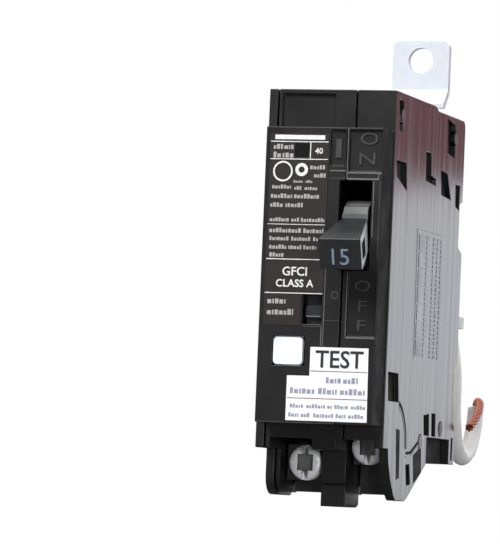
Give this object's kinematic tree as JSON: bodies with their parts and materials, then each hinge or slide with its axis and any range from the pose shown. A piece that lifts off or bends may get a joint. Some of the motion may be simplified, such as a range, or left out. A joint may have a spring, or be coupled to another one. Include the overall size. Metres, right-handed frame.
{
  "type": "ground-fault circuit breaker",
  "caption": "Narrow black bolt-on circuit breaker with a tilting toggle, white test button, recessed screw terminals, a drilled line tab on top and a coiled white pigtail wire.",
  "frame": {"origin": "centre of the flat rear seat between the two rear hooks, on the middle plane of the housing", "axes": "+X towards the right side of the housing seen from the front, -Y out of the front face with the handle, +Y rearward into the panel, +Z towards the line end with the tab"},
  "size_m": [0.028, 0.11, 0.0939],
  "materials": {
    "case_plastic": "moulded, slightly glossy black",
    "cover_plastic": "moulded, slightly glossy black",
    "label_print": null,
    "sticker_paper": "printed white paper with grey bars",
    "handle_plastic": "moulded black, satin",
    "white_plastic": "moulded white, satin",
    "zinc_steel": "zinc plated, bright",
    "dark_steel": "dark plated steel",
    "bright_steel": "bare spring and pin steel",
    "copper": "bare copper",
    "silver_contact": "silver alloy contact",
    "grey_fibre": "fibre board",
    "board_laminate": "green laminate",
    "toroid_coat": "coated ferrite core",
    "winding_tape": "yellow tape over a winding",
    "epoxy_black": "moulded epoxy",
    "varistor_blue": "dipped blue coat",
    "wire_white": "white wire insulation",
    "tie_nylon": "natural nylon"
  },
  "bodies": {
    "case": {"left_cover": "case_plastic", "center_case": "case_plastic", "right_cover": "cover_plastic", "case_rivet_1": "dark_steel", "case_rivet_2": "dark_steel", "case_rivet_3": "dark_steel", "case_rivet_4": "dark_steel", "rating_label": "label_print", "test_sticker": "sticker_paper", "test_button_spring": "bright_steel", "test_contact_base": "grey_fibre", "handle_pin": "bright_steel", "line_tab": "zinc_steel", "fixed_contact": "silver_contact", "arm_pin": "bright_steel", "cradle_pin": "bright_steel", "toggle_spring": "bright_steel", "bimetal_strip": "zinc_steel", "magnet_yoke": "bright_steel", "flexible_braid": "copper", "load_strap": "dark_steel", "neutral_strap": "dark_steel", "arc_chute_frame": "grey_fibre", "arc_plate_1": "zinc_steel", "arc_plate_2": "zinc_steel", "arc_plate_3": "zinc_steel", "neutral_lug": "dark_steel", "load_lug": "dark_steel", "circuit_board": "board_laminate", "sense_toroid": "toroid_coat", "neutral_toroid": "toroid_coat", "sense_conductor": "copper", "neutral_conductor": "copper", "trip_solenoid": "winding_tape", "plunger_spring": "bright_steel", "storage_capacitor": "epoxy_black", "film_capacitor": "winding_tape", "surge_varistor": "varistor_blue", "control_chip": "epoxy_black", "drop_resistor": "varistor_blue", "wire_grommet": "epoxy_black", "pigtail_lead": "wire_white", "pigtail_coil": "wire_white", "coil_tie": "tie_nylon", "pigtail_tail": "wire_white", "stripped_end": "copper"},
    "handle": {"handle": "handle_plastic"},
    "contact_arm": {"contact_arm": "copper", "moving_contact": "silver_contact"},
    "latch_cradle": {"latch_cradle": "zinc_steel"},
    "armature": {"armature": "zinc_steel"},
    "test_button": {"test_button": "white_plastic"},
    "fault_flag": {"fault_flag": "handle_plastic"},
    "solenoid_plunger": {"solenoid_plunger": "bright_steel"},
    "load_screw": {"load_screw": "zinc_steel"},
    "load_clamp": {"load_clamp": "dark_steel"},
    "neutral_screw": {"neutral_screw": "zinc_steel"},
    "neutral_clamp": {"neutral_clamp": "dark_steel"}
  },
  "joints": [
    {"name": "handle_throw", "type": "hinge", "parent": "case", "child": "handle", "pos_m": [0.0072, -0.0524, 0.0122], "axis": [-1, 0, 0], "range_deg": [0, 40]},
    {"name": "contact_swing", "type": "hinge", "parent": "case", "child": "contact_arm", "pos_m": [0.0052, -0.026, 0.008], "axis": [-1, 0, 0], "range_deg": [0, 10.5]},
    {"name": "cradle_trip", "type": "hinge", "parent": "case", "child": "latch_cradle", "pos_m": [0.0078, -0.031, 0.029], "axis": [1, 0, 0], "range_deg": [0, 6], "stiffness_Nm_per_rad": 0.004},
    {"name": "armature_pull", "type": "hinge", "parent": "case", "child": "armature", "pos_m": [0.006, -0.0425, 0.0055], "axis": [1, 0, 0], "range_deg": [0, 4], "stiffness_Nm_per_rad": 0.004},
    {"name": "button_press", "type": "slide", "parent": "case", "child": "test_button", "axis": [0, 1, 0], "range_m": [0, 0.0012], "stiffness_N_per_m": 120, "springref_m": -0.0004, "deforming": ["test_button_spring"]},
    {"name": "flag_shift", "type": "slide", "parent": "case", "child": "fault_flag", "axis": [0, 0, 1], "range_m": [0, 0.0018]},
    {"name": "plunger_pull", "type": "slide", "parent": "case", "child": "solenoid_plunger", "axis": [0, 0, -1], "range_m": [0, 0.0024], "stiffness_N_per_m": 60, "springref_m": -0.0008, "deforming": ["plunger_spring"]},
    {"name": "load_clamp_close", "type": "slide", "parent": "case", "child": "load_clamp", "axis": [0, 1, 0], "range_m": [0, 0.0024]},
    {"name": "load_screw_turn", "type": "hinge", "parent": "case", "child": "load_screw", "pos_m": [0.0072, -0.0446, -0.0293], "axis": [0, 1, 0], "range_deg": [0, 1085]},
    {"name": "neutral_clamp_close", "type": "slide", "parent": "case", "child": "neutral_clamp", "axis": [0, 1, 0], "range_m": [0, 0.0024]},
    {"name": "neutral_screw_turn", "type": "hinge", "parent": "case", "child": "neutral_screw", "pos_m": [-0.0052, -0.0446, -0.0327], "axis": [0, 1, 0], "range_deg": [0, 1085]}
  ],
  "couplings": [
    {"joint": "contact_swing", "follows": "handle_throw", "ratio": 0.26},
    {"joint": "load_screw_turn", "follows": "load_clamp_close", "rad_per_m": 7854},
    {"joint": "neutral_screw_turn", "follows": "neutral_clamp_close", "rad_per_m": 7854}
  ]
}
